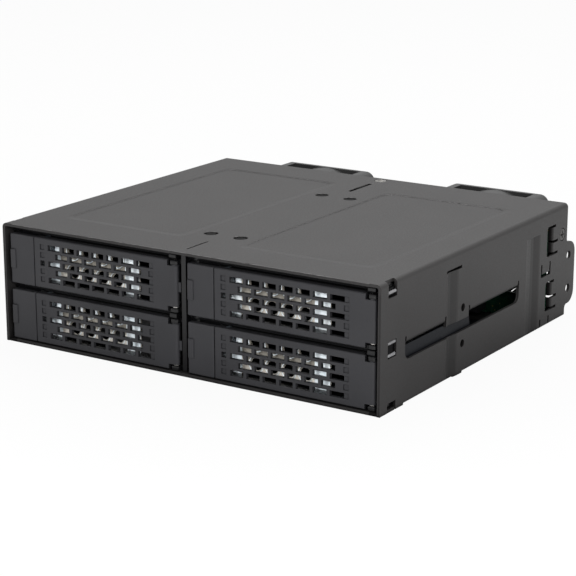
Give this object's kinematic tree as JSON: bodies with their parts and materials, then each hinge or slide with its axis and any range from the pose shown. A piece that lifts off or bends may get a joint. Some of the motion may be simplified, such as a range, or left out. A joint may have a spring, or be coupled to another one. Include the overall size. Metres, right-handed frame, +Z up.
{
  "type": "hot swap drive cage",
  "caption": "Sheet steel cage for one 5.25 inch bay holding 2.5 inch drives in sliding trays with hinged lever doors and release buttons, backplane and rear fans.",
  "frame": {"origin": "middle of the underside of the whole object", "axes": "+X to the right seen from the door side, +Y from the doors to the fans, +Z up"},
  "size_m": [0.146, 0.1392, 0.041],
  "materials": {
    "black_steel": "fine textured powder coat",
    "tray_steel": "satin black coat",
    "door_black": "fine textured satin",
    "black_plastic": "moulded",
    "fan_plastic": "moulded",
    "bare_steel": "plain zinc coat",
    "nickel_screw": "nickel",
    "black_screw": "black oxide",
    "circuit_board": "green solder mask",
    "chip_black": "moulded",
    "connector_black": "moulded",
    "connector_white": "moulded",
    "clear_plastic": "clear"
  },
  "bodies": {
    "cage": {"outer_shell": "black_steel", "base_pan": "black_steel", "divider_left": "black_steel", "divider_right": "black_steel", "front_bezel": "black_plastic", "backplane_board": "circuit_board", "drive_sockets": "connector_black", "data_ports": "connector_black", "power_port": "connector_white", "board_chips": "chip_black", "status_lights": "clear_plastic", "fan_headers": "connector_white", "fan_frame_left": "fan_plastic", "fan_frame_right": "fan_plastic", "fan_bearings": "bare_steel", "fan_screws": "black_screw", "side_screws": "nickel_screw", "roof_screw": "nickel_screw", "divider_rivets": "black_steel"},
    "left_fan_rotor": {"fan_rotor_left": "fan_plastic", "fan_shaft_left": "bare_steel"},
    "right_fan_rotor": {"fan_rotor_right": "fan_plastic", "fan_shaft_right": "bare_steel"},
    "tray_upper_left": {"tray_frame_upper_left": "black_plastic", "tray_pan_upper_left": "tray_steel", "vent_plate_upper_left": "bare_steel", "light_guide_upper_left": "clear_plastic", "hinge_pin_upper_left": "bare_steel", "button_spring_upper_left": "bare_steel", "door_spring_upper_left": "bare_steel"},
    "lever_upper_left": {"door_upper_left": "door_black"},
    "release_upper_left": {"release_button_upper_left": "door_black"},
    "tray_upper_right": {"tray_frame_upper_right": "black_plastic", "tray_pan_upper_right": "tray_steel", "vent_plate_upper_right": "bare_steel", "light_guide_upper_right": "clear_plastic", "hinge_pin_upper_right": "bare_steel", "button_spring_upper_right": "bare_steel", "door_spring_upper_right": "bare_steel"},
    "lever_upper_right": {"door_upper_right": "door_black"},
    "release_upper_right": {"release_button_upper_right": "door_black"},
    "tray_lower_left": {"tray_frame_lower_left": "black_plastic", "tray_pan_lower_left": "tray_steel", "vent_plate_lower_left": "bare_steel", "light_guide_lower_left": "clear_plastic", "hinge_pin_lower_left": "bare_steel", "button_spring_lower_left": "bare_steel", "door_spring_lower_left": "bare_steel"},
    "lever_lower_left": {"door_lower_left": "door_black"},
    "release_lower_left": {"release_button_lower_left": "door_black"},
    "tray_lower_right": {"tray_frame_lower_right": "black_plastic", "tray_pan_lower_right": "tray_steel", "vent_plate_lower_right": "bare_steel", "light_guide_lower_right": "clear_plastic", "hinge_pin_lower_right": "bare_steel", "button_spring_lower_right": "bare_steel", "door_spring_lower_right": "bare_steel"},
    "lever_lower_right": {"door_lower_right": "door_black"},
    "release_lower_right": {"release_button_lower_right": "door_black"}
  },
  "joints": [
    {"name": "left_fan_spin", "type": "hinge", "parent": "cage", "child": "left_fan_rotor", "pos_m": [-0.031, 0.0646, 0.0204], "axis": [0, 1, 0], "continuous": true},
    {"name": "right_fan_spin", "type": "hinge", "parent": "cage", "child": "right_fan_rotor", "pos_m": [0.041, 0.0646, 0.0204], "axis": [0, 1, 0], "continuous": true},
    {"name": "upper_left_tray_slide", "type": "slide", "parent": "cage", "child": "tray_upper_left", "axis": [0, -1, 0], "range_m": [0, 0.11]},
    {"name": "upper_left_door_swing", "type": "hinge", "parent": "tray_upper_left", "child": "lever_upper_left", "pos_m": [-0.0035, -0.0671, 0.029], "axis": [0, 0, 1], "range_deg": [0, 95]},
    {"name": "upper_left_button_press", "type": "slide", "parent": "tray_upper_left", "child": "release_upper_left", "axis": [0, 1, 0], "range_m": [0, 0.0012], "stiffness_N_per_m": 400, "springref_m": -0.0005},
    {"name": "upper_right_tray_slide", "type": "slide", "parent": "cage", "child": "tray_upper_right", "axis": [0, -1, 0], "range_m": [0, 0.11]},
    {"name": "upper_right_door_swing", "type": "hinge", "parent": "tray_upper_right", "child": "lever_upper_right", "pos_m": [0.0693, -0.0671, 0.029], "axis": [0, 0, 1], "range_deg": [0, 95]},
    {"name": "upper_right_button_press", "type": "slide", "parent": "tray_upper_right", "child": "release_upper_right", "axis": [0, 1, 0], "range_m": [0, 0.0012], "stiffness_N_per_m": 400, "springref_m": -0.0005},
    {"name": "lower_left_tray_slide", "type": "slide", "parent": "cage", "child": "tray_lower_left", "axis": [0, -1, 0], "range_m": [0, 0.11]},
    {"name": "lower_left_door_swing", "type": "hinge", "parent": "tray_lower_left", "child": "lever_lower_left", "pos_m": [-0.0035, -0.0671, 0.00975], "axis": [0, 0, 1], "range_deg": [0, 95]},
    {"name": "lower_left_button_press", "type": "slide", "parent": "tray_lower_left", "child": "release_lower_left", "axis": [0, 1, 0], "range_m": [0, 0.0012], "stiffness_N_per_m": 400, "springref_m": -0.0005},
    {"name": "lower_right_tray_slide", "type": "slide", "parent": "cage", "child": "tray_lower_right", "axis": [0, -1, 0], "range_m": [0, 0.11]},
    {"name": "lower_right_door_swing", "type": "hinge", "parent": "tray_lower_right", "child": "lever_lower_right", "pos_m": [0.0693, -0.0671, 0.00975], "axis": [0, 0, 1], "range_deg": [0, 95]},
    {"name": "lower_right_button_press", "type": "slide", "parent": "tray_lower_right", "child": "release_lower_right", "axis": [0, 1, 0], "range_m": [0, 0.0012], "stiffness_N_per_m": 400, "springref_m": -0.0005}
  ]
}
